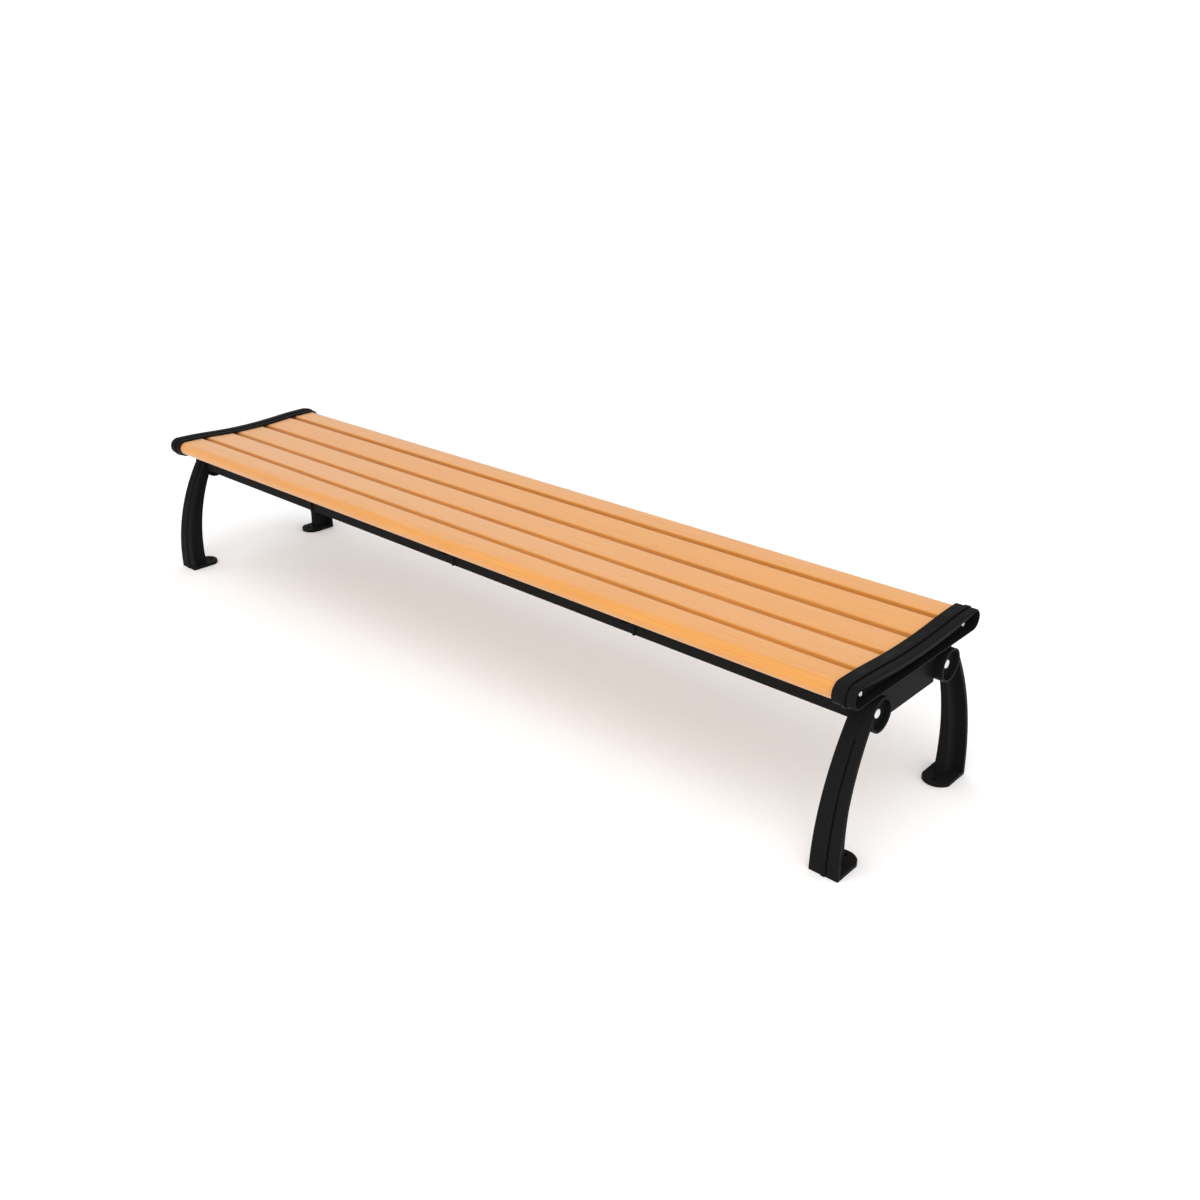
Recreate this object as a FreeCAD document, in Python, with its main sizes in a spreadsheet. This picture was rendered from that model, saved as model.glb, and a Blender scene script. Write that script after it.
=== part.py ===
import FreeCAD, Part
import math
import os
import Sketcher
from FreeCAD import Placement, Rotation, Vector

# A long backless bench: two cast end frames, five planks between them, two steel rails low
# under the planks and three cross straps that tie the planks to the rails.
# Millimetres.  X runs along the bench, -Y is the front, +Z is up, and the origin is on the
# ground under the middle of the seat.

document = FreeCAD.newDocument("backless_bench")
sheet = document.addObject("Spreadsheet::Sheet", "sheet")

DRIVING_SIZES = {
    "bench_length": 2438,          # eight feet, over the feet
    "seat_height": 419.5,          # top of the end frames, without their raised line
    "seat_dip": 9,                 # how far the seat sinks in its middle
    "cap_height": 49.5,
    "cap_depth": 512,              # front to back over both rounded noses
    "frame_width": 50,             # flanges of the cap and the rings, along X
    "foot_width": 68,              # leg flange and foot plate at the ground, along X
    "flange": 5,                   # thickness of the cap's and the rings' flanges
    "cap_edge_middle": 12,         # the cap's outer edge is deeper in the middle of the seat
    "cap_edge_round": 4,
    "web": 8,                      # upright web in the middle of a frame
    "line_width": 9,               # raised line along the middle of the outer flanges
    "line_rise": 2.5,
    "line_groove": 3.5,            # width of the groove along the line's outer side
    "leg_radius": 559.5,           # the outer face of a leg is one arc
    "leg_reach": 268.5,            # its outermost point, from the middle of the bench
    "leg_bulge_height": 25.8,      # height of that outermost point
    "leg_flange": 9,
    "leg_rib_foot": 26,            # thickness of the leg's inner rib at the ground
    "leg_rib_top": 14,
    "foot_plate": 9,
    "anchor_reach": 189,           # from the middle of the bench to an anchor hole
    "anchor_hole": 13,
    "ring_reach": 142,
    "ring_height": 322,
    "ring_diameter": 76,
    "ring_recess": 12,             # outer rim of the ring down to its floor
    "apron_bottom": 287.5,
    "plank_width": 89,
    "plank_gap": 19,
    "plank_thickness": 38,
    "plank_end_gap": 1,
    "rail_depth": 60,
    "rail_height": 25,
    "rail_wall": 2.5,
    "disc_diameter": 64,           # round plate on the end of a rail
    "disc_thickness": 10,
    "strap_pitch": 605,
    "strap_width": 25.4,
    "strap_reach": 206,
    "strap_wall": 2.5,
    "saddle": 6,                   # upright saddle plates under the straps
    "rail_bolt": 12,
    "rail_bolt_head": 21,
    "cap_bolt": 8,
    "cap_bolt_head": 12,
    "plank_screw": 6,
    "plank_screw_head": 11,
    "saddle_screw": 5,
    "saddle_screw_head": 9,
    "head_height": 3,              # of every bolt and screw
}


def fill_sheet():
    for row, (name, value) in enumerate(DRIVING_SIZES.items(), start=1):
        sheet.set("A%d" % row, name)
        sheet.set("B%d" % row, str(value))
        sheet.setAlias("B%d" % row, name)
    document.recompute()


fill_sheet()


def size(name):
    return float(sheet.get(name))


# Places and shapes that follow from the driving sizes.

frame_place = (size("bench_length") - size("foot_width")) / 2      # middle of a frame, along X
half_web = size("web") / 2
half_frame = size("frame_width") / 2
flange = size("flange")
cap_radius = size("cap_height") / 2
nose_reach = size("cap_depth") / 2 - cap_radius                    # centre of a rounded nose
nose_height = size("seat_height") - cap_radius
cap_bottom = size("seat_height") - size("cap_height")

# The seat is one hollow arc in the middle that turns over to level at the noses.
hollow_reach = 120
hollow_radius = hollow_reach * nose_reach / (2 * size("seat_dip"))
crown_radius = hollow_radius * (nose_reach - hollow_reach) / hollow_reach
turn_angle = math.asin(hollow_reach / hollow_radius)

# The planks stand on the inner ledge of the frames, which at the noses is the cap's flange.
plank_drop = size("cap_height") - flange - size("plank_thickness")
plank_pitch = size("plank_width") + size("plank_gap")
plank_radius = size("plank_thickness") / 2
plank_stop = frame_place - half_web - size("plank_end_gap")
edge_plank_inner = 1.5 * plank_pitch + size("plank_gap") / 2
plank_edge = 3                                                     # rounding of plank edges
edge_plank_outer = nose_reach - 0.5                                # where its round nose begins
edge_plank_half = (edge_plank_outer - edge_plank_inner) / 2

ring_radius = size("ring_diameter") / 2
ring_inner = ring_radius - flange
ring_floor = half_frame - size("ring_recess")
leg_centre = size("leg_radius") - size("leg_reach")
leg_top = size("ring_height") + 12                                 # the leg ends in its ring
rib_depth_foot = 56
rib_depth_slope = 0.04                                             # a rib is shallower higher up
foot_straight_end = 197
foot_tip = 172
apron_half = 112
web_reach = 178                                                    # web between ring and cap
ring_line_angles = (5, 70)                                         # degrees above level
groove_depth = 3
overlap = 1                                                        # joined features share this
run_out = 2                                                        # cuts start this far outside
shortest_seat_arc = 20
saddle_screw_tip = 6                                               # its point inside the rail

cap_bolt_reach = 208
cap_bolt_height = 390
cap_bolt_boss = 4                                                  # raised seat of its head
cap_bolt_boss_diameter = 16
ledge_screw_place = half_frame - 9                                 # from frame middle, inwards
cap_bolt_length = 60
edge_screw_reach = 194
plank_screw_bite = 24                                              # depth of a screw in a plank
rail_top = size("ring_height") + size("rail_height") / 2
rail_face = size("ring_reach") + size("rail_depth") / 2            # outer face of a rail
rail_stop = frame_place - half_web - size("disc_thickness")
strap_height = size("strap_width")


def seat_line(y):
    """Height of the frame's top face at the distance y from the middle of the bench."""
    reach = min(abs(y), nose_reach)
    if reach <= hollow_reach:
        return size("seat_height") - size("seat_dip") + reach ** 2 / (2 * hollow_radius)
    return size("seat_height") - (nose_reach - reach) ** 2 / (2 * crown_radius)


def leg_face(z):
    """Distance of the leg's outer face from the middle of the bench at height z."""
    return math.sqrt(size("leg_radius") ** 2 - (z - size("leg_bulge_height")) ** 2) - leg_centre


def rib_edge(z):
    return leg_face(z) - rib_depth_foot + rib_depth_slope * z


def leg_flange_back(z):
    inner_radius = size("leg_radius") - size("leg_flange")
    return math.sqrt(inner_radius ** 2 - (z - size("leg_bulge_height")) ** 2) - leg_centre


def plank_places():
    """Centre of each plank's top line (y, z) and its tilt in degrees, front to back."""
    places = []
    for number in (-2, -1, 0, 1, 2):
        low = number * plank_pitch - size("plank_width") / 2
        high = low + size("plank_width")
        if number == 2:
            high = edge_plank_outer
        if number == -2:
            low = -edge_plank_outer
        tilt = math.degrees(math.atan2(seat_line(high) - seat_line(low), high - low))
        middle = (low + high) / 2
        height = (seat_line(low) + seat_line(high)) / 2 - plank_drop
        places.append((middle, height, tilt))
    return places


def underside_at(place, y):
    """Height of a plank's underside at y."""
    middle, height, tilt = place
    slope = math.tan(math.radians(tilt))
    return height + (y - middle) * slope - size("plank_thickness") / math.cos(math.radians(tilt))


def underside_corners(reach):
    """The faceted line under all planks from -reach to +reach, as (y, z) points."""
    places = plank_places()
    corners = [(-reach, underside_at(places[0], -reach))]
    for left, right in zip(places, places[1:]):
        left_slope = math.tan(math.radians(left[2]))
        right_slope = math.tan(math.radians(right[2]))
        y = (underside_at(right, 0) - underside_at(left, 0)) / (left_slope - right_slope)
        corners.append((y, underside_at(left, y)))
    corners.append((reach, underside_at(places[-1], reach)))
    return corners


def lowered(corners, drop):
    return [(y, z - drop) for y, z in corners]


# Sketches and features.

def new_body(name):
    body = document.addObject("PartDesign::Body", name)
    body.Label = name
    return body


def sketch_on(body, role, name, offset=0.0):
    plane = [item for item in body.Origin.OriginFeatures if item.Role == role][0]
    sketch = body.newObject("Sketcher::SketchObject", name)
    sketch.AttachmentSupport = [(plane, "")]
    sketch.MapMode = "FlatFace"
    sketch.AttachmentOffset = Placement(Vector(0, 0, offset), Rotation())
    return sketch


def flat(point):
    return Vector(point[0], point[1], 0)


def polygon(corners):
    return path(corners) + [Part.LineSegment(flat(corners[-1]), flat(corners[0]))]


def path(corners):
    return [Part.LineSegment(flat(a), flat(b)) for a, b in zip(corners, corners[1:])]


def arc(start, through, end):
    return Part.Arc(flat(start), flat(through), flat(end))


def circle(centre, diameter):
    return Part.Circle(flat(centre), Vector(0, 0, 1), diameter / 2)


def draw(sketch, curves):
    sketch.addGeometry(curves, False)


def draw_bound_circle(sketch, centre, diameter_name):
    """A circle whose diameter follows a cell of the sheet."""
    index = sketch.addGeometry(circle(centre, size(diameter_name)), False)
    rule = sketch.addConstraint(Sketcher.Constraint("Diameter", index, size(diameter_name)))
    sketch.setExpression("Constraints[%d]" % rule, "sheet." + diameter_name)


def draw_bound_rectangle(sketch, width_name, height_name, shrink_name=None):
    """A rectangle centred on the sketch origin; both sides follow cells of the sheet."""
    shrink = size(shrink_name) if shrink_name else 0.0
    half_width = size(width_name) / 2 - shrink
    half_height = size(height_name) / 2 - shrink
    corners = [(-half_width, -half_height), (half_width, -half_height),
               (half_width, half_height), (-half_width, half_height)]
    first = sketch.GeometryCount
    draw(sketch, polygon(corners))
    for side in range(4):
        following = first + (side + 1) % 4
        sketch.addConstraint(Sketcher.Constraint("Coincident", first + side, 2, following, 1))
        kind = "Horizontal" if side % 2 == 0 else "Vertical"
        sketch.addConstraint(Sketcher.Constraint(kind, first + side))
    sketch.addConstraint(Sketcher.Constraint("Symmetric", first, 1, first + 1, 2, -1, 1))
    less = " - 2 * sheet." + shrink_name if shrink_name else ""
    for side, name, length in ((0, width_name, 2 * half_width), (1, height_name, 2 * half_height)):
        kind = "DistanceX" if side == 0 else "DistanceY"
        rule = sketch.addConstraint(
            Sketcher.Constraint(kind, first + side, 1, first + side, 2, length))
        sketch.setExpression("Constraints[%d]" % rule, "sheet." + name + less)


def extrude(kind, body, sketch, name, length, direction):
    """direction: 'both' for half the length each way, 'along' or 'against' the sketch normal."""
    feature = body.newObject("PartDesign::" + kind, name)
    feature.Profile = sketch
    feature.Midplane = direction == "both"
    feature.Reversed = direction == "against"
    if isinstance(length, str):
        feature.setExpression("Length", length)
    else:
        feature.Length = length
    return feature


def pad(body, sketch, name, length, direction="both"):
    feature = extrude("Pad", body, sketch, name, length, direction)
    document.recompute()
    if not feature.isValid() or feature.Shape.isNull():
        raise RuntimeError("%s in %s failed: %s" % (name, body.Label, feature.getStatusString()))
    return feature


def pocket(body, sketch, name, length, direction="both"):
    before = body.Shape.Volume
    # a pocket runs against its sketch's normal unless it is reversed
    turned = {"both": "both", "along": "against", "against": "along"}[direction]
    feature = extrude("Pocket", body, sketch, name, length, turned)
    document.recompute()
    if not feature.isValid():
        raise RuntimeError("%s in %s failed: %s" % (name, body.Label, feature.getStatusString()))
    if before - feature.Shape.Volume < 1.0:
        raise RuntimeError("%s removes nothing from %s" % (name, body.Label))
    return feature


def drill(body, name, diameter_name, depth, place):
    """A round hole that starts at the placement and runs along its z axis."""
    before = body.Shape.Volume
    hole = body.newObject("PartDesign::SubtractiveCylinder", name)
    hole.setExpression("Radius", "sheet.%s / 2" % diameter_name)
    hole.Height = depth
    hole.Placement = place
    document.recompute()
    if before - hole.Shape.Volume < 1.0:
        raise RuntimeError("%s removes nothing from %s" % (name, body.Label))
    return hole


def round_edges(body, base, name, radius, wanted):
    """Round the edges of base for which wanted(edge) holds."""
    names = ["Edge%d" % (i + 1) for i, edge in enumerate(base.Shape.Edges) if wanted(edge)]
    fillet = body.newObject("PartDesign::Fillet", name)
    fillet.Base = (base, names)
    fillet.Radius = radius
    document.recompute()
    if not fillet.isValid():
        raise RuntimeError("%s in %s failed on %d edges" % (name, body.Label, len(names)))
    return fillet


# The cast end frame.

def seat_arcs(inset, end_reach):
    """The top of the frame, inset below its face, from -end_reach to +end_reach."""
    hollow_middle = size("seat_height") - size("seat_dip") + hollow_radius
    crown_middle = size("seat_height") - crown_radius
    turn_z = hollow_middle - (hollow_radius + inset) * math.cos(turn_angle)
    turn_y = (hollow_radius + inset) * math.sin(turn_angle)
    half_turn = turn_angle / 2
    crown_y = nose_reach - (crown_radius - inset) * math.sin(half_turn)
    crown_z = crown_middle + (crown_radius - inset) * math.cos(half_turn)
    end_z = size("seat_height") - inset
    return [arc((-end_reach, end_z), (-crown_y, crown_z), (-turn_y, turn_z)),
            arc((-turn_y, turn_z), (0, size("seat_height") - size("seat_dip") - inset),
                (turn_y, turn_z)),
            arc((turn_y, turn_z), (crown_y, crown_z), (end_reach, end_z))]


def nose_arcs(inset):
    """Both rounded noses, inset from their outer face."""
    radius = cap_radius - inset
    arcs = []
    for side in (-1, 1):
        arcs.append(arc((side * nose_reach, nose_height + radius),
                        (side * (nose_reach + radius), nose_height),
                        (side * nose_reach, nose_height - radius)))
    return arcs


def cap_outline(inset, bottom_corners):
    return seat_arcs(inset, nose_reach) + nose_arcs(inset) + path(bottom_corners)


def flat_bottom(z):
    return [(-nose_reach, z), (nose_reach, z)]


def ledge_line(at_nose, drop):
    """The faceted line under the planks, closed to the noses at the height at_nose."""
    inner = lowered(underside_corners(nose_reach)[1:-1], drop)
    return [(-nose_reach, at_nose)] + inner + [(nose_reach, at_nose)]


def add_legs(body):
    ribs = sketch_on(body, "YZ_Plane", "leg_ribs")
    flanges = sketch_on(body, "YZ_Plane", "leg_flanges")
    middle = leg_top / 2
    for side in (-1, 1):
        outer = arc((side * leg_face(0), 0), (side * leg_face(middle), middle),
                    (side * leg_face(leg_top), leg_top))
        rib = arc((side * rib_edge(0), 0), (side * rib_edge(middle), middle),
                  (side * rib_edge(leg_top), leg_top))
        back = arc((side * leg_flange_back(0), 0), (side * leg_flange_back(middle), middle),
                   (side * leg_flange_back(leg_top), leg_top))
        for sketch, inner, inner_reach in ((ribs, rib, rib_edge), (flanges, back, leg_flange_back)):
            ends = [path([(side * leg_face(z), z), (side * inner_reach(z), z)])[0]
                    for z in (0, leg_top)]
            draw(sketch, [outer, inner] + ends)
    pad(body, ribs, "leg_rib_pad", "sheet.leg_rib_foot")
    taper_sides(body, "leg_rib", size("leg_rib_foot") / 2, size("leg_rib_top") / 2, 0)
    pad(body, flanges, "leg_flange_pad", "sheet.foot_width")
    taper_sides(body, "leg_flange", size("foot_width") / 2, half_frame, size("foot_plate"))


def taper_sides(body, name, half_at_foot, half_at_top, start):
    """Narrow everything made so far from half_at_foot at the height start to half_at_top."""
    sketch = sketch_on(body, "XZ_Plane", name + "_taper")
    beyond = half_at_foot + overlap
    for side in (-1, 1):
        draw(sketch, polygon([(side * half_at_foot, start), (side * half_at_top, leg_top),
                              (side * half_at_top, leg_top + 1), (side * beyond, leg_top + 1),
                              (side * beyond, start)]))
    pocket(body, sketch, name + "_taper_cut", "2 * sheet.leg_reach + 10")


def add_feet(body):
    sketch = sketch_on(body, "XY_Plane", "foot_plates")
    half = size("foot_width") / 2
    outer = leg_face(0) - size("leg_flange") / 2
    for side in (-1, 1):
        draw(sketch, path([(half, side * foot_straight_end), (half, side * outer),
                           (-half, side * outer), (-half, side * foot_straight_end)]))
        draw(sketch, [arc((half, side * foot_straight_end), (0, side * foot_tip),
                          (-half, side * foot_straight_end))])
        draw_bound_circle(sketch, (0, side * size("anchor_reach")), "anchor_hole")
    pad(body, sketch, "foot_plate_pad", "sheet.foot_plate", "along")


def add_web(body):
    sketch = sketch_on(body, "YZ_Plane", "middle_web")
    ring_side = size("ring_height")
    under = [(-nose_reach, cap_bottom), (-web_reach, cap_bottom), (-web_reach, ring_side),
             (-apron_half, ring_side), (-apron_half, size("apron_bottom")),
             (apron_half, size("apron_bottom")), (apron_half, ring_side),
             (web_reach, ring_side), (web_reach, cap_bottom), (nose_reach, cap_bottom)]
    draw(sketch, cap_outline(0, under))
    pad(body, sketch, "middle_web_pad", "sheet.web")


def add_cap_flanges(body):
    outside = sketch_on(body, "YZ_Plane", "outer_cap_flange")
    draw(outside, cap_outline(0, flat_bottom(cap_bottom)))
    draw(outside, cap_outline(flange, flat_bottom(cap_bottom + flange)))
    pad(body, outside, "outer_cap_flange_pad", "sheet.frame_width / 2", "along")
    inside = sketch_on(body, "YZ_Plane", "inner_cap_flange")
    draw(inside, cap_outline(0, ledge_line(cap_bottom, flange)))
    draw(inside, cap_outline(flange, ledge_line(cap_bottom + flange, 0)))
    pad(body, inside, "inner_cap_flange_pad", "sheet.frame_width / 2", "against")
    add_deep_edge(body)


def add_deep_edge(body):
    """The outer top flange grows deeper from the noses to the middle; its edge is rounded."""
    sketch = sketch_on(body, "YZ_Plane", "deep_edge")
    end = (nose_reach, size("seat_height") - overlap)
    other_end = (-nose_reach, size("seat_height") - overlap)
    low = (0, size("seat_height") - size("seat_dip") - size("cap_edge_middle"))
    draw(sketch, seat_arcs(overlap, nose_reach))
    deep_ends = [(side * nose_reach, size("seat_height") - flange + overlap) for side in (-1, 1)]
    draw(sketch, path([other_end, deep_ends[0]]) + path([deep_ends[1], end]))
    draw(sketch, [arc(deep_ends[0], low, deep_ends[1])])
    deep_edge = pad(body, sketch, "deep_edge_pad", "sheet.frame_width / 2", "along")
    fillet = round_edges(body, deep_edge, "soft_edge", size("cap_edge_round"), is_seat_edge)
    fillet.setExpression("Radius", "sheet.cap_edge_round")
    document.recompute()


def is_seat_edge(edge):
    """True for the outer top edge of the cap between the noses."""
    box = edge.BoundBox
    if box.XMin < half_frame - 0.01 or box.YLength < shortest_seat_arc:
        return False
    return all(abs(corner.Z - seat_line(corner.Y)) < 0.01 for corner in edge.Vertexes)


def add_rings(body):
    sketch = sketch_on(body, "YZ_Plane", "rings")
    for side in (-1, 1):
        draw_bound_circle(sketch, (side * size("ring_reach"), size("ring_height")),
                          "ring_diameter")
    pad(body, sketch, "ring_pad", "sheet.frame_width")


def hollow_rings(body):
    recesses = (("outer_ring_recess", ring_floor, "along"),
                ("inner_ring_recess", -half_web, "against"))
    for name, floor, direction in recesses:
        sketch = sketch_on(body, "YZ_Plane", name, floor)
        for side in (-1, 1):
            centre = (side * size("ring_reach"), size("ring_height"))
            draw(sketch, [circle(centre, 2 * ring_inner)])
        pocket(body, sketch, name + "_cut", size("foot_width") / 2, direction)


def add_raised_line(body):
    """A low rounded line along the middle of the cap, the legs' faces and the rings' shoulders."""
    rise = size("line_rise")
    sketch = sketch_on(body, "YZ_Plane", "raised_line")
    over_cap = seat_arcs(-rise, nose_reach) + nose_arcs(-rise)
    under_cap = seat_arcs(overlap, nose_reach) + nose_arcs(overlap)
    nose_ends = [path([(side * nose_reach, cap_bottom - rise),
                       (side * nose_reach, cap_bottom + overlap)])[0] for side in (-1, 1)]
    draw(sketch, over_cap + under_cap + nose_ends)
    middle = leg_top / 2
    for side in (-1, 1):
        faces = []
        for offset in (-overlap, rise):
            faces.append([(side * (leg_face(z) + offset), z) for z in (0, middle, leg_top)])
        ends = [path([faces[0][i], faces[1][i]])[0] for i in (0, 2)]
        draw(sketch, [arc(*faces[0]), arc(*faces[1])] + ends)
    pad(body, sketch, "raised_line_pad", "sheet.line_width")
    around = sketch_on(body, "YZ_Plane", "ring_line")
    for side in (-1, 1):
        centre = (side * size("ring_reach"), size("ring_height"))
        draw(around, [part_of_ring(centre, side, radius) for radius in
                      (ring_radius - overlap, ring_radius + rise)])
        draw(around, [path([on_ring(centre, side, ring_radius - overlap, angle),
                            on_ring(centre, side, ring_radius + rise, angle)])[0]
                      for angle in ring_line_angles])
    pad(body, around, "ring_line_pad", "sheet.line_width")
    cut_line_groove(body)


def cut_line_groove(body):
    """A narrow groove that sets the raised line off on its outer side."""
    sketch = sketch_on(body, "YZ_Plane", "line_groove", size("line_width") / 2)
    above = size("line_rise") + overlap
    draw(sketch, seat_arcs(-above, nose_reach) + nose_arcs(-above))
    draw(sketch, seat_arcs(groove_depth, nose_reach) + nose_arcs(groove_depth))
    for side in (-1, 1):
        draw(sketch, path([(side * nose_reach, cap_bottom - above),
                           (side * nose_reach, cap_bottom + groove_depth)]))
    middle = leg_top / 2
    straight_top = size("ring_height") - ring_radius
    for side in (-1, 1):
        edges = [[(side * (leg_face(z) + offset), z)
                  for z in (size("foot_plate"), middle, straight_top)]
                 for offset in (-groove_depth, above)]
        ends = [path([edges[0][i], edges[1][i]])[0] for i in (0, 2)]
        draw(sketch, [arc(*edges[0]), arc(*edges[1])] + ends)
    pocket(body, sketch, "line_groove_cut", "sheet.line_groove", "along")


def add_bolt_bosses(body):
    sketch = sketch_on(body, "YZ_Plane", "bolt_bosses")
    for side in (-1, 1):
        draw(sketch, [circle((side * cap_bolt_reach, cap_bolt_height), cap_bolt_boss_diameter)])
    pad(body, sketch, "bolt_boss_pad", half_web + cap_bolt_boss, "along")


def on_ring(centre, side, radius, degrees):
    angle = math.radians(degrees)
    return (centre[0] + side * radius * math.cos(angle), centre[1] + radius * math.sin(angle))


def part_of_ring(centre, side, radius):
    low, high = ring_line_angles
    return arc(on_ring(centre, side, radius, low), on_ring(centre, side, radius, (low + high) / 2),
               on_ring(centre, side, radius, high))


def end_frame(name, side):
    """Side is +1 for the right end and -1 for the left; local +X faces away from the planks."""
    body = new_body(name)
    add_web(body)
    add_legs(body)
    add_feet(body)
    add_cap_flanges(body)
    add_rings(body)
    add_raised_line(body)
    add_bolt_bosses(body)
    hollow_rings(body)
    for reach in (-1, 1):
        centre = Vector(-half_web - overlap, reach * size("ring_reach"), size("ring_height"))
        drill(body, "rail_bolt_hole", "rail_bolt", size("frame_width"),
              Placement(centre, Rotation(Vector(0, 1, 0), 90)))
        start = Vector(-half_web - overlap, reach * cap_bolt_reach, cap_bolt_height)
        drill(body, "cap_bolt_hole", "cap_bolt", size("web") + cap_bolt_boss + 2 * overlap,
              Placement(start, Rotation(Vector(0, 1, 0), 90)))
    for place in screw_places():
        drill(body, "ledge_hole", "plank_screw", flange + 2 * run_out,
              screw_placement(place, -ledge_screw_place, -flange - run_out))
    turn = 0 if side > 0 else 180
    body.Placement = Placement(Vector(side * frame_place, 0, 0), Rotation(Vector(0, 0, 1), turn))
    body.setExpression(
        "Placement.Base.x", "%d * (sheet.bench_length - sheet.foot_width) / 2" % side)
    return body


# Planks.

def screw_places():
    """One screw line under each plank: (y, z) on its underside and the plank's tilt."""
    places = []
    for middle, height, tilt in plank_places():
        y = middle
        if abs(middle) > 1.5 * plank_pitch:
            y = math.copysign(edge_screw_reach, middle)
        places.append((y, underside_at((middle, height, tilt), y), tilt))
    return places


def screw_placement(place, x, along):
    """A placement square to a plank's underside, moved along its own z axis."""
    y, z, tilt = place
    turn = Rotation(Vector(1, 0, 0), tilt)
    return Placement(Vector(x, y, z) + turn.multVec(Vector(0, 0, along)), turn)


def screw_stations():
    """Every x at which a plank is screwed down: both ledges and the three straps."""
    ledge = frame_place - ledge_screw_place
    return [-ledge] + [number * size("strap_pitch") for number in (-1, 0, 1)] + [ledge]


def plank_section(middle):
    """Section of a plank about the middle of its top line, and its square corners.

    The two edge planks carry a full round nose on their outer side.
    """
    bottom = -size("plank_thickness")
    half = size("plank_width") / 2
    if abs(middle) < 1.5 * plank_pitch:
        corners = [(-half, 0), (half, 0), (half, bottom), (-half, bottom)]
        return polygon(corners), corners
    outward = math.copysign(1, middle)
    half = edge_plank_half
    nose = arc((outward * half, 0), (outward * (half + plank_radius), bottom / 2),
               (outward * half, bottom))
    sides = path([(outward * half, bottom), (-outward * half, bottom), (-outward * half, 0),
                  (outward * half, 0)])
    return [nose] + sides, [(-outward * half, 0), (-outward * half, bottom)]


def plank(name, number):
    middle, height, tilt = plank_places()[number]
    body = new_body(name)
    sketch = sketch_on(body, "YZ_Plane", "section")
    curves, corners = plank_section(middle)
    draw(sketch, curves)
    board = pad(body, sketch, "board",
                "sheet.bench_length - sheet.foot_width - sheet.web - 2 * sheet.plank_end_gap")
    round_edges(body, board, "rounded_edges", plank_edge,
                lambda edge: runs_along_x_at(edge, corners))
    place = Placement(Vector(0, middle, height), Rotation(Vector(1, 0, 0), tilt))
    local = place.inverse()
    for x in screw_stations():
        hole = screw_placement(screw_places()[number], x, -overlap)
        drill(body, "screw_hole", "plank_screw", plank_screw_bite + overlap, local.multiply(hole))
    if abs(middle) > 1.5 * plank_pitch:
        for side in (-1, 1):
            start = Vector(side * (plank_stop + overlap), math.copysign(cap_bolt_reach, middle),
                           cap_bolt_height)
            hole = Placement(start, Rotation(Vector(0, 1, 0), -side * 90))
            drill(body, "end_hole", "cap_bolt", cap_bolt_length, local.multiply(hole))
    body.Placement = place
    return body


def runs_along_x_at(edge, corners):
    if edge.BoundBox.XLength < plank_stop:
        return False
    start = edge.Vertexes[0]
    return any(math.hypot(start.Y - y, start.Z - z) < 0.01 for y, z in corners)


# Rails.

def rail(name, side):
    body = new_body(name)
    sketch = sketch_on(body, "YZ_Plane", "section")
    draw_bound_rectangle(sketch, "rail_depth", "rail_height")
    draw_bound_rectangle(sketch, "rail_depth", "rail_height", "rail_wall")
    pad(body, sketch, "tube", "sheet.bench_length - sheet.foot_width - sheet.web"
        " - 2 * sheet.disc_thickness")
    for number in (-1, 0, 1):
        for step in (-1, 1):
            start = Vector(number * size("strap_pitch") + step * saddle_screw_step, 0, 0)
            drill(body, "saddle_screw_hole", "saddle_screw", size("rail_height"),
                  Placement(start, Rotation()))
    body.Placement = Placement(
        Vector(0, side * size("ring_reach"), size("ring_height")), Rotation())
    body.setExpression("Placement.Base.y", "%d * sheet.ring_reach" % side)
    body.setExpression("Placement.Base.z", "sheet.ring_height")
    return body


def end_disc(side_x, side_y):
    """Threaded round plate that closes a rail and sits in the ring's inner recess."""
    disc = document.addObject("Part::Cylinder", "disc")
    disc.setExpression("Radius", "sheet.disc_diameter / 2")
    disc.setExpression("Height", "sheet.disc_thickness")
    hole = document.addObject("Part::Cylinder", "disc_hole")
    hole.setExpression("Radius", "sheet.rail_bolt / 2")
    hole.setExpression("Height", "sheet.disc_thickness")
    plate = document.addObject("Part::Cut", "threaded_disc")
    plate.Base = disc
    plate.Tool = hole
    start = Vector(side_x * rail_stop, side_y * size("ring_reach"), size("ring_height"))
    plate.Placement = Placement(start, Rotation(Vector(0, 1, 0), side_x * 90))
    return plate


def group(name, members):
    """Identical pieces of one kind, kept as separate solids in one named sub-part."""
    compound = document.addObject("Part::Compound", name)
    compound.Label = name
    compound.Links = members
    return compound


# Cross straps.

saddle_screw_step = 14                                             # from the saddle's middle
saddle_foot = 4                                                    # base plate of a saddle
saddle_foot_half = 22
saddle_inner_step = 22                                             # from the ring centre
saddle_hook = 5                                                    # nib in front of the rail


def strap(name, number):
    body = new_body(name)
    top = underside_corners(size("strap_reach"))
    bottom = lowered(top, strap_height)
    tube = sketch_on(body, "YZ_Plane", "tube")
    draw(tube, polygon(top + bottom[::-1]))
    pad(body, tube, "tube_pad", "sheet.strap_width")
    wall = size("strap_wall")
    bore = sketch_on(body, "YZ_Plane", "bore")
    bore_top = lowered(underside_corners(size("strap_reach") + run_out), wall)
    bore_bottom = lowered(bore_top, strap_height - 2 * wall)
    draw(bore, polygon(bore_top + bore_bottom[::-1]))
    pocket(body, bore, "bore_cut", "sheet.strap_width - 2 * sheet.strap_wall")
    add_saddles(body)
    for index, place in enumerate(screw_places()):
        drill(body, "plank_screw_hole", "plank_screw", strap_height + 4 * run_out,
              screw_placement(place, 0, -strap_height - 2 * run_out))
    body.Placement = Placement(Vector(number * size("strap_pitch"), 0, 0), Rotation())
    body.setExpression("Placement.Base.x", "%d * sheet.strap_pitch" % number)
    return body


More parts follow.
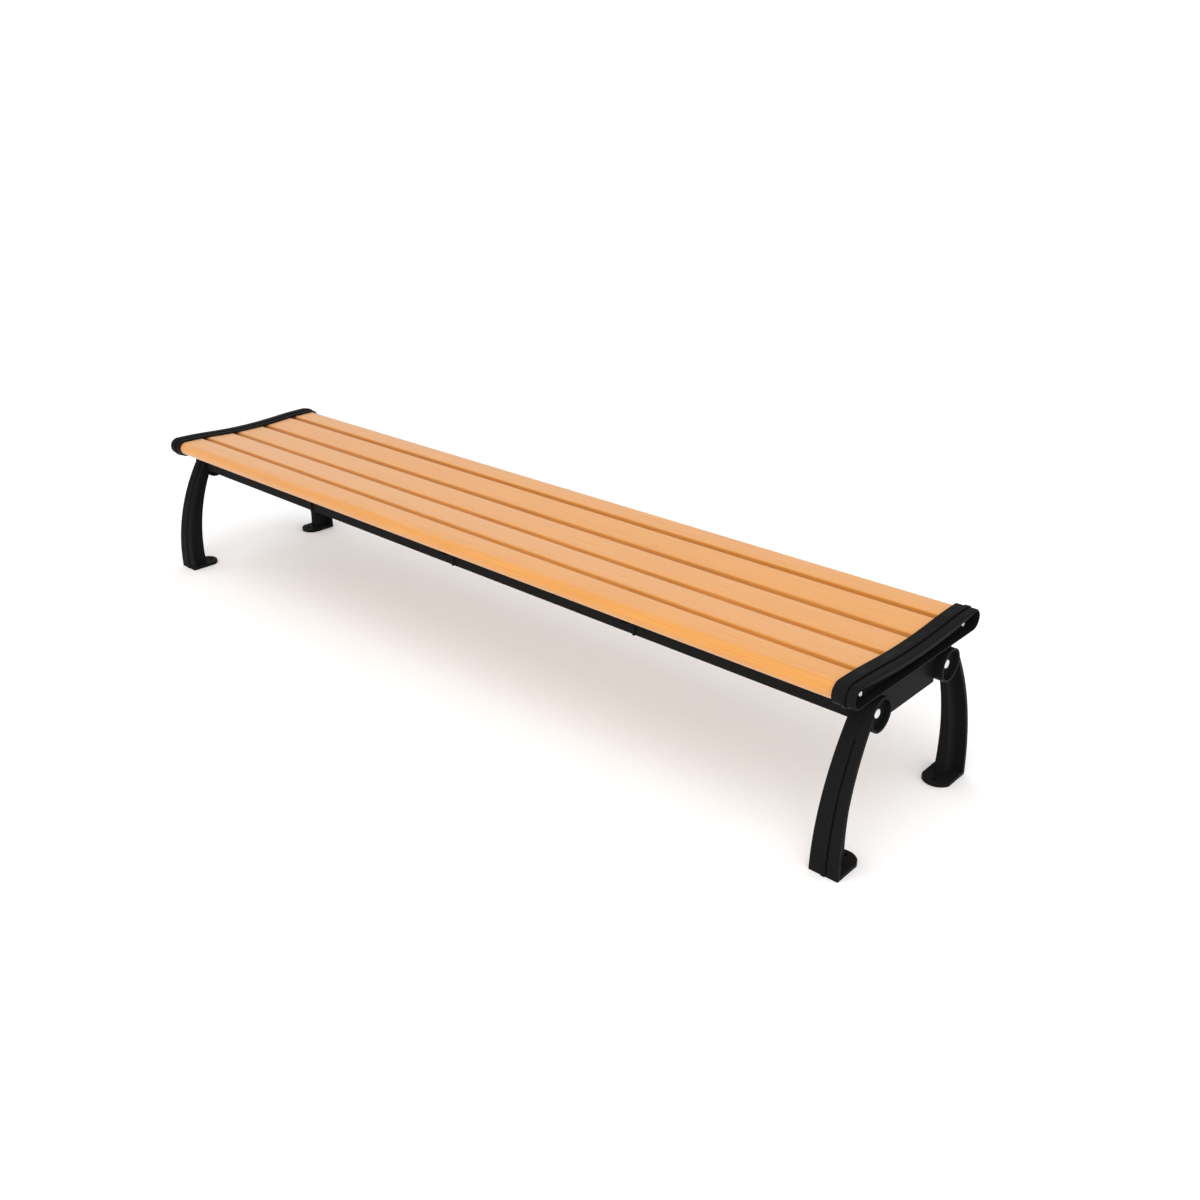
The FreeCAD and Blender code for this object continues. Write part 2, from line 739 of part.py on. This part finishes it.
def strap_bottom(y):
    """Height of the strap's underside at y."""
    corners = lowered(underside_corners(size("strap_reach")), strap_height)
    for low, high in zip(corners, corners[1:]):
        if low[0] <= y <= high[0]:
            return low[1] + (high[1] - low[1]) * (y - low[0]) / (high[0] - low[0])
    raise ValueError("no strap at y = %s" % y)


def add_saddles(body):
    """Upright plates from the strap down to each rail, hooked over the rail's outer face."""
    rail_bottom = rail_top - size("rail_height")
    inner = size("ring_reach") - saddle_inner_step
    hook_outer = rail_face + saddle_hook
    plates = sketch_on(body, "YZ_Plane", "saddles")
    bases = sketch_on(body, "YZ_Plane", "saddle_bases")
    for side in (-1, 1):
        outline = [(inner, rail_top), (rail_face, rail_top),
                   (rail_face, rail_bottom), (hook_outer, rail_bottom),
                   (hook_outer, strap_bottom(hook_outer) + overlap),
                   (inner, strap_bottom(inner) + overlap)]
        draw(plates, polygon([(side * y, z) for y, z in outline]))
        base = [(inner, rail_top), (rail_face, rail_top), (rail_face, rail_top + saddle_foot),
                (inner, rail_top + saddle_foot)]
        draw(bases, polygon([(side * y, z) for y, z in base]))
    pad(body, plates, "saddle_pad", "sheet.saddle")
    pad(body, bases, "saddle_base_pad", 2 * saddle_foot_half)
    for side in (-1, 1):
        for step in (-1, 1):
            start = Vector(step * saddle_screw_step, side * size("ring_reach"), rail_top - overlap)
            drill(body, "base_hole", "saddle_screw", saddle_foot + 2 * overlap,
                  Placement(start, Rotation()))


# Fasteners.

saddle_screw_length = saddle_foot + size("rail_wall") + saddle_screw_tip


def fastener(diameter_name, shank, place):
    """A low rounded head below a plain shank; local +Z runs from the head into the shank."""
    body = document.addObject("PartDesign::Body", "fastener")
    sketch = sketch_on(body, "XZ_Plane", "outline")
    radius = size(diameter_name) / 2
    head = size(diameter_name + "_head") / 2
    head_height = size("head_height")
    crown = head - 0.8 * head_height                               # flat middle of the head
    rim = -0.4 * head_height
    shoulder = (head - 0.25 * (head - crown), rim - 0.7 * (head_height + rim))
    draw(sketch, path([(crown, -head_height), (0, -head_height), (0, shank), (radius, shank),
                       (radius, 0), (head, 0), (head, rim)]))
    draw(sketch, [arc((head, rim), shoulder, (crown, -head_height))])
    turned = body.newObject("PartDesign::Revolution", "turned")
    turned.Profile = sketch
    turned.ReferenceAxis = (sketch, ["V_Axis"])
    turned.Angle = 360
    body.Placement = place
    return body


def rail_bolts(name, side):
    bolts = []
    for reach in (-1, 1):
        place = Vector(side * (frame_place + ring_floor), reach * size("ring_reach"),
                       size("ring_height"))
        turn = Rotation(Vector(0, 1, 0), -side * 90)
        shank = ring_floor + half_web + size("disc_thickness")
        bolts.append(fastener("rail_bolt", shank, Placement(place, turn)))
    return group(name, bolts)


def cap_bolts(name, side):
    bolts = []
    for reach in (-1, 1):
        place = Vector(side * (frame_place + half_web + cap_bolt_boss), reach * cap_bolt_reach,
                       cap_bolt_height)
        turn = Rotation(Vector(0, 1, 0), -side * 90)
        bolts.append(fastener("cap_bolt", cap_bolt_length, Placement(place, turn)))
    return group(name, bolts)


def ledge_screws(name, side):
    x = side * (frame_place - ledge_screw_place)
    screws = [fastener("plank_screw", flange + plank_screw_bite, screw_placement(place, x, -flange))
              for place in screw_places()]
    return group(name, screws)


def strap_screws(name, number):
    x = number * size("strap_pitch")
    screws = [fastener("plank_screw", strap_height + plank_screw_bite,
                       screw_placement(place, x, -strap_height))
              for place in screw_places()]
    return group(name, screws)


def saddle_screws(name, number):
    down = Rotation(Vector(1, 0, 0), 180)
    screws = []
    for side in (-1, 1):
        for step in (-1, 1):
            place = Vector(number * size("strap_pitch") + step * saddle_screw_step,
                           side * size("ring_reach"), rail_top + saddle_foot)
            screws.append(fastener("saddle_screw", saddle_screw_length, Placement(place, down)))
    return group(name, screws)


# The whole bench.

def build_bench():
    parts = [end_frame("end_frame_right", 1), end_frame("end_frame_left", -1)]
    plank_names = ("plank_front", "plank_front_mid", "plank_middle", "plank_rear_mid",
                   "plank_rear")
    for number, name in enumerate(plank_names):
        parts.append(plank(name, number))
    for name, side in (("front", -1), ("rear", 1)):
        parts.append(rail("rail_" + name, side))
        parts.append(group("rail_discs_" + name, [end_disc(x, side) for x in (-1, 1)]))
    for name, side in (("left", -1), ("right", 1)):
        parts.append(rail_bolts("rail_bolts_" + name, side))
        parts.append(cap_bolts("cap_bolts_" + name, side))
        parts.append(ledge_screws("ledge_screws_" + name, side))
    for name, number in (("left", -1), ("centre", 0), ("right", 1)):
        parts.append(strap("strap_" + name, number))
        parts.append(strap_screws("strap_screws_" + name, number))
        parts.append(saddle_screws("saddle_screws_" + name, number))
    document.recompute()
    return parts


def check_document():
    for item in document.Objects:
        if "Invalid" in item.State or "Error" in item.State:
            raise RuntimeError("%s is %s" % (item.Label, item.State))


def write_parts(parts):
    os.makedirs("parts", exist_ok=True)
    for part in parts:
        if part.Shape.isNull() or not part.Shape.isValid():
            raise RuntimeError("%s has no valid shape" % part.Label)
        part.Shape.exportStep(os.path.join("parts", part.Label + ".step"))
        print("%-22s %d solid(s) %.0f mm3" % (part.Label, len(part.Shape.Solids),
                                               part.Shape.Volume))


bench_parts = build_bench()
check_document()
write_parts(bench_parts)
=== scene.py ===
import bpy
import bmesh
import math
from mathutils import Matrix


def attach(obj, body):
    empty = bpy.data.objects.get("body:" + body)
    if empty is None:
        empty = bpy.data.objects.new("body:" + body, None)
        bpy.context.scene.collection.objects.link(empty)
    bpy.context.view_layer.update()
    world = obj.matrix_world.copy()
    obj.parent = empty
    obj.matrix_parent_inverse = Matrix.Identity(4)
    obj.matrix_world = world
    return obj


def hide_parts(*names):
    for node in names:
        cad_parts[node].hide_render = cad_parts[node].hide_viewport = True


# A long backless bench: black cast end frames, cedar-coloured planks, black rails and straps.
# Everything is in metres, X along the bench, -Y the front.

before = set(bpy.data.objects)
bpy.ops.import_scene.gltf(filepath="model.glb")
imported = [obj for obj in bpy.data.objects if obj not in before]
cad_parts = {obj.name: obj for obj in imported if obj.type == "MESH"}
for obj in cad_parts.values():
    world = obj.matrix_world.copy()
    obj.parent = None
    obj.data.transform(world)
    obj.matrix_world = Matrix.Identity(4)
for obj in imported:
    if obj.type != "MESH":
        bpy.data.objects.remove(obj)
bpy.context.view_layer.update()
scene = bpy.context.scene
print("frame loaded,", len(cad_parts), "nodes")


# node helpers

def newMaterial(name):
    material = bpy.data.materials.new(name)
    material.use_nodes = True
    tree = material.node_tree
    tree.nodes.clear()
    output = tree.nodes.new("ShaderNodeOutputMaterial")
    shader = tree.nodes.new("ShaderNodeBsdfPrincipled")
    tree.links.new(shader.outputs["BSDF"], output.inputs["Surface"])
    return material, tree, shader


def addNode(tree, kind, **settings):
    node = tree.nodes.new(kind)
    for name, value in settings.items():
        setattr(node, name, value)
    return node


def setInputs(node, **values):
    for name, value in values.items():
        node.inputs[name.replace("_", " ")].default_value = value
    return node


def objectPlace(tree, stretch=(1.0, 1.0, 1.0)):
    # object coordinates, stretched along the three axes where asked
    coords = addNode(tree, "ShaderNodeTexCoord")
    mapping = addNode(tree, "ShaderNodeMapping")
    mapping.inputs["Scale"].default_value = stretch
    tree.links.new(coords.outputs["Object"], mapping.inputs["Vector"])
    return mapping.outputs["Vector"]


def noise(tree, place, scale, detail, roughness=0.55):
    texture = addNode(tree, "ShaderNodeTexNoise")
    setInputs(texture, Scale=scale, Detail=detail, Roughness=roughness)
    tree.links.new(place, texture.inputs["Vector"])
    return texture.outputs["Fac"]


def spread(tree, value, low, high, toLow=0.0, toHigh=1.0):
    ramp = addNode(tree, "ShaderNodeMapRange")
    tree.links.new(value, ramp.inputs["Value"])
    setInputs(ramp, From_Min=low, From_Max=high, To_Min=toLow, To_Max=toHigh)
    return ramp.outputs["Result"]


def combine(tree, operation, first, second):
    node = addNode(tree, "ShaderNodeMath", operation=operation)
    for socket, value in zip(node.inputs, (first, second)):
        if isinstance(value, (int, float)):
            socket.default_value = value
        else:
            tree.links.new(value, socket)
    return node.outputs["Value"]


def blendColours(tree, factor, first, second):
    node = addNode(tree, "ShaderNodeMix", data_type="RGBA", blend_type="MIX")
    for socket, value in ((node.inputs[0], factor), (node.inputs[6], first),
                          (node.inputs[7], second)):
        if isinstance(value, (int, float)):
            socket.default_value = value
        elif isinstance(value, tuple):
            socket.default_value = (*value, 1.0)
        else:
            tree.links.new(value, socket)
    return node.outputs[2]


def bumpNormal(tree, shader, height):
    # heights come in metres, so the bump adds no scale of its own
    bump = addNode(tree, "ShaderNodeBump")
    setInputs(bump, Strength=1.0, Distance=1.0)
    tree.links.new(height, bump.inputs["Height"])
    tree.links.new(bump.outputs["Normal"], shader.inputs["Normal"])


# shared effects

def newGroup(name, inputs, outputs):
    group = bpy.data.node_groups.new(name, "ShaderNodeTree")
    for label, kind, value in inputs:
        socket = group.interface.new_socket(name=label, in_out="INPUT", socket_type=kind)
        socket.default_value = value
    for label, kind in outputs:
        group.interface.new_socket(name=label, in_out="OUTPUT", socket_type=kind)
    inside = group.nodes.new("NodeGroupInput")
    outside = group.nodes.new("NodeGroupOutput")
    return group, inside, outside


markShapes = {
    "Clouds": {"scaleName": "Cloud Scale", "scale": 6.0, "detail": 4.0, "low": 0.35, "high": 0.70},
    "Specks": {"scaleName": "Speck Scale", "scale": 160.0, "detail": 2.0, "low": 0.66, "high": 0.74},
}


def buildHandlingMarks():
    # masks for soft cloudy dulling and for a few fine rubbed spots
    inputs = [(mark["scaleName"], "NodeSocketFloat", mark["scale"]) for mark in markShapes.values()]
    outputs = [(name, "NodeSocketFloat") for name in markShapes]
    group, inside, outside = newGroup("handlingMarks", inputs, outputs)
    place = objectPlace(group)
    for name, mark in markShapes.items():
        texture = addNode(group, "ShaderNodeTexNoise")
        texture.inputs["Detail"].default_value = mark["detail"]
        group.links.new(place, texture.inputs["Vector"])
        group.links.new(inside.outputs[mark["scaleName"]], texture.inputs["Scale"])
        shaped = spread(group, texture.outputs["Fac"], mark["low"], mark["high"])
        group.links.new(shaped, outside.inputs[name])
    return group


handlingMarks = buildHandlingMarks()


def useGroup(tree, group, **values):
    node = addNode(tree, "ShaderNodeGroup", node_tree=group)
    return setInputs(node, **values)


# materials

castPaint = {
    "colour": (0.0102, 0.0102, 0.0103),
    "edgeColour": (0.0110, 0.0110, 0.0112),
    "dust": (0.0130, 0.0130, 0.0130),
    "roughness": 0.27,
    "dullRoughness": 0.31,
    "orangePeel": 0.00004,
    "metalGrain": 0.00007,
}

steelPaint = {
    "colour": (0.0130, 0.0130, 0.0130),
    "edgeColour": (0.0150, 0.0150, 0.0150),
    "dust": (0.0130, 0.0130, 0.0130),
    "roughness": 0.24,
    "dullRoughness": 0.30,
    "orangePeel": 0.00003,
    "metalGrain": 0.00001,
}

paintTexture = {
    "specular": 0.010,          # very low, which keeps the black even at flat viewing angles
    "cloudScale": 7.0,
    "speckScale": 240.0,
    "speckRoughness": 0.08,
    "peelScale": 320.0,
    "grainScale": 900.0,
}


def paintMaterial(name, paint, baseColour):
    # smooth black paint: faint orange peel over the texture of the metal beneath
    material, tree, shader = newMaterial(name)
    setInputs(shader, Specular_IOR_Level=paintTexture["specular"])
    marks = useGroup(tree, handlingMarks, Cloud_Scale=paintTexture["cloudScale"],
                     Speck_Scale=paintTexture["speckScale"])
    specks = marks.outputs["Specks"]
    tree.links.new(blendColours(tree, specks, baseColour, paint["dust"]),
                   shader.inputs["Base Color"])
    rough = spread(tree, marks.outputs["Clouds"], 0.0, 1.0, paint["roughness"],
                   paint["dullRoughness"])
    speckRough = combine(tree, "MULTIPLY", specks, paintTexture["speckRoughness"])
    tree.links.new(combine(tree, "ADD", rough, speckRough), shader.inputs["Roughness"])
    place = objectPlace(tree)
    peel = combine(tree, "MULTIPLY", noise(tree, place, paintTexture["peelScale"], 2.0),
                   paint["orangePeel"])
    grain = combine(tree, "MULTIPLY", noise(tree, place, paintTexture["grainScale"], 3.0),
                    paint["metalGrain"])
    bumpNormal(tree, shader, combine(tree, "ADD", peel, grain))
    return material


plankFinish = {
    "light": (0.690, 0.296, 0.052),
    "dark": (0.570, 0.228, 0.035),
    "streak": (0.715, 0.326, 0.075),
    "fineGrain": (5.0, 420.0, 420.0),       # each grain is drawn out along the board
    "broadGrain": (1.2, 55.0, 55.0),
    "hairGrain": (14.0, 1100.0, 1100.0),
    "streakAmount": 0.35,
    "shadeAmount": 0.16,
    "cloudAmount": 0.10,
    "cloudScale": 2.2,
    "speckScale": 380.0,
    "roughness": 0.46,
    "rougher": 0.08,
    "smoother": 0.06,
    "speckRoughness": 0.06,
    "sheen": 0.42,
    "sheenRoughness": 0.45,
    "grainDepth": 0.00024,
    "hairDepth": 0.000096,
}


def plankMaterial(name):
    # recycled plastic boards with a fine brushed grain along their length
    material, tree, shader = newMaterial(name)
    fine = noise(tree, objectPlace(tree, plankFinish["fineGrain"]), 1.0, 4.0, 0.62)
    broad = noise(tree, objectPlace(tree, plankFinish["broadGrain"]), 1.0, 3.0, 0.5)
    hair = noise(tree, objectPlace(tree, plankFinish["hairGrain"]), 1.0, 2.0, 0.5)
    marks = useGroup(tree, handlingMarks, Cloud_Scale=plankFinish["cloudScale"],
                     Speck_Scale=plankFinish["speckScale"])
    colour = blendColours(tree, spread(tree, fine, 0.32, 0.68), plankFinish["dark"],
                          plankFinish["light"])
    layers = ((spread(tree, hair, 0.60, 0.72), "streakAmount", "streak"),
              (spread(tree, broad, 0.35, 0.75), "shadeAmount", "dark"),
              (marks.outputs["Clouds"], "cloudAmount", "streak"))
    for mask, amount, tint in layers:
        share = combine(tree, "MULTIPLY", mask, plankFinish[amount])
        colour = blendColours(tree, share, colour, plankFinish[tint])
    tree.links.new(colour, shader.inputs["Base Color"])
    rough = spread(tree, fine, 0.3, 0.7, plankFinish["roughness"] + plankFinish["rougher"],
                   plankFinish["roughness"] - plankFinish["smoother"])
    speckRough = combine(tree, "MULTIPLY", marks.outputs["Specks"], plankFinish["speckRoughness"])
    tree.links.new(combine(tree, "ADD", rough, speckRough), shader.inputs["Roughness"])
    fineHeight = combine(tree, "MULTIPLY", fine, plankFinish["grainDepth"])
    hairHeight = combine(tree, "MULTIPLY", hair, plankFinish["hairDepth"])
    bumpNormal(tree, shader, combine(tree, "ADD", fineHeight, hairHeight))
    setInputs(shader, Specular_IOR_Level=0.5, Sheen_Weight=plankFinish["sheen"],
              Sheen_Roughness=plankFinish["sheenRoughness"])
    return material


stainlessFinish = {
    "colour": (0.86, 0.86, 0.85),
    "dull": (0.66, 0.66, 0.65),
    "dullAmount": 0.5,
    "roughness": 0.28,
    "dullRoughness": 0.42,
    "cloudScale": 60.0,
    "speckScale": 900.0,
    "grainScale": 2500.0,
    "grainDepth": 0.00001,
}


def stainlessMaterial(name):
    # bare bolt and screw heads with soft smears
    material, tree, shader = newMaterial(name)
    setInputs(shader, Metallic=1.0)
    marks = useGroup(tree, handlingMarks, Cloud_Scale=stainlessFinish["cloudScale"],
                     Speck_Scale=stainlessFinish["speckScale"])
    clouds = marks.outputs["Clouds"]
    dullness = combine(tree, "MULTIPLY", clouds, stainlessFinish["dullAmount"])
    colour = blendColours(tree, dullness, stainlessFinish["colour"], stainlessFinish["dull"])
    tree.links.new(colour, shader.inputs["Base Color"])
    rough = spread(tree, clouds, 0.0, 1.0, stainlessFinish["roughness"],
                   stainlessFinish["dullRoughness"])
    tree.links.new(rough, shader.inputs["Roughness"])
    grain = noise(tree, objectPlace(tree), stainlessFinish["grainScale"], 2.0)
    bumpNormal(tree, shader, combine(tree, "MULTIPLY", grain, stainlessFinish["grainDepth"]))
    return material


castBlack = paintMaterial("castBlack", castPaint, castPaint["colour"])
castBlackEdge = paintMaterial("castBlackEdge", castPaint, castPaint["edgeColour"])
steelBlack = paintMaterial("steelBlack", steelPaint, steelPaint["colour"])
steelBlackEdge = paintMaterial("steelBlackEdge", steelPaint, steelPaint["edgeColour"])
cedarPlank = plankMaterial("cedarPlank")
stainless = stainlessMaterial("stainless")
print("materials made")


# pieces

cleanUp = {
    "mergeDistance": 0.00001,
    "flatAngle": 0.3,           # degrees; faces this level with each other are joined
    "smoothAngle": 32.0,        # degrees; sharper edges stay crisp
    "bevelSegments": 2,
}


def finishedCopy(node, materials, edge):
    # a clean copy of a node's mesh: joined faces, small rounded edges, smooth shading
    smoothAngle = math.radians(cleanUp["smoothAngle"])
    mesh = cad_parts[node].data.copy()
    mesh.name = node + "_finished"
    shape = bmesh.new()
    shape.from_mesh(mesh)
    bmesh.ops.remove_doubles(shape, verts=shape.verts, dist=cleanUp["mergeDistance"])
    bmesh.ops.dissolve_limit(shape, angle_limit=math.radians(cleanUp["flatAngle"]), verts=shape.verts,
                             edges=shape.edges, use_dissolve_boundaries=False)
    shape.to_mesh(mesh)
    shape.free()
    mesh.materials.clear()
    for material in materials:
        mesh.materials.append(material)
    for face in mesh.polygons:
        face.use_smooth = True
    mesh.set_sharp_from_angle(angle=smoothAngle)
    piece = bpy.data.objects.new(node + "_finished", mesh)
    scene.collection.objects.link(piece)
    if edge:
        bevel = piece.modifiers.new("roundedEdges", "BEVEL")
        bevel.width = edge
        bevel.segments = cleanUp["bevelSegments"]
        bevel.limit_method = "ANGLE"
        bevel.angle_limit = smoothAngle
        bevel.harden_normals = True
        bevel.material = len(materials) - 1      # the new faces take the last material
    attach(piece, "root")
    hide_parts(node)


# by the start of a node's name: materials, slot and rounding of the edges
pieceFinishes = {
    "end_frame": ([castBlack, castBlackEdge], "black_paint", 0.0006),
    "plank": ([cedarPlank], "plank", 0.0006),
    "rail_bolts": ([stainless], "stainless", None),
    "rail": ([steelBlack, steelBlackEdge], "black_steel", 0.0008),
    "strap_screws": ([stainless], "stainless", None),
    "strap": ([steelBlack, steelBlackEdge], "black_steel", 0.0006),
    "cap_bolts": ([stainless], "stainless", None),
    "ledge_screws": ([stainless], "stainless", None),
    "saddle_screws": ([stainless], "stainless", None),
}

for node in sorted(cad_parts):
    kind = max([start for start in pieceFinishes if node.startswith(start)], key=len)
    materials, slotName, edge = pieceFinishes[kind]
    finishedCopy(node, materials, edge)
print("pieces finished")


# floor, light and camera

studio = {
    "floorSize": 60.0,
    "floorColour": (0.95, 0.95, 0.95, 1.0),
    "floorRoughness": 0.9,
    "skyForCamera": 1.05,
    "skyForLight": 1.06,
    "skyInGloss": 0.60,
    "keyPower": 100.0,
    "keySize": 5.0,
    "keyPlace": (1.5, -2.4, 3.8),
}


def makeFloor():
    mesh = bpy.data.meshes.new("floor")
    shape = bmesh.new()
    bmesh.ops.create_grid(shape, x_segments=1, y_segments=1, size=studio["floorSize"] / 2)
    shape.to_mesh(mesh)
    shape.free()
    floor = bpy.data.objects.new("floor", mesh)
    scene.collection.objects.link(floor)
    material, _, shader = newMaterial("paleFloor")
    setInputs(shader, Base_Color=studio["floorColour"], Roughness=studio["floorRoughness"],
              Specular_IOR_Level=0.0)
    mesh.materials.append(material)


def makeSky():
    # white all round; a little dimmer in reflections, as a softly lit studio is
    world = bpy.data.worlds.new("studio")
    scene.world = world
    world.use_nodes = True
    tree = world.node_tree
    tree.nodes.clear()
    output = addNode(tree, "ShaderNodeOutputWorld")
    background = addNode(tree, "ShaderNodeBackground")
    background.inputs["Color"].default_value = (1.0, 1.0, 1.0, 1.0)
    ray = addNode(tree, "ShaderNodeLightPath")
    level = addNode(tree, "ShaderNodeMix", data_type="FLOAT")
    tree.links.new(ray.outputs["Is Camera Ray"], level.inputs[0])
    gloss = addNode(tree, "ShaderNodeMix", data_type="FLOAT")
    tree.links.new(ray.outputs["Is Glossy Ray"], gloss.inputs[0])
    gloss.inputs[2].default_value = studio["skyForLight"]
    gloss.inputs[3].default_value = studio["skyInGloss"]
    tree.links.new(gloss.outputs[0], level.inputs[2])
    level.inputs[3].default_value = studio["skyForCamera"]
    tree.links.new(level.outputs[0], background.inputs["Strength"])
    tree.links.new(background.outputs["Background"], output.inputs["Surface"])


def makeKeyLight():
    light = bpy.data.lights.new("key", "AREA")
    light.energy = studio["keyPower"]
    light.shape = "DISK"
    light.size = studio["keySize"]
    key = bpy.data.objects.new("key", light)
    scene.collection.objects.link(key)
    key.location = studio["keyPlace"]
    toBench = -key.location
    key.rotation_euler = toBench.to_track_quat("-Z", "Y").to_euler()
    key.visible_camera = False


viewPoint = {
    "place": (2.1603, -2.0073, 1.4749),
    "tilt": 65.81,
    "turn": 42.12,
    "lens": 35.87,
    "sensor": 36.0,
    "farthest": 200.0,
}


def makeCamera():
    lens = bpy.data.cameras.new("viewCamera")
    lens.lens = viewPoint["lens"]
    lens.sensor_width = viewPoint["sensor"]
    lens.clip_end = viewPoint["farthest"]
    camera = bpy.data.objects.new("viewCamera", lens)
    scene.collection.objects.link(camera)
    camera.location = viewPoint["place"]
    camera.rotation_euler = (math.radians(viewPoint["tilt"]), 0.0, math.radians(viewPoint["turn"]))
    scene.camera = camera


makeFloor()
makeSky()
makeKeyLight()
makeCamera()
scene.view_settings.view_transform = "Standard"
print("stage set")
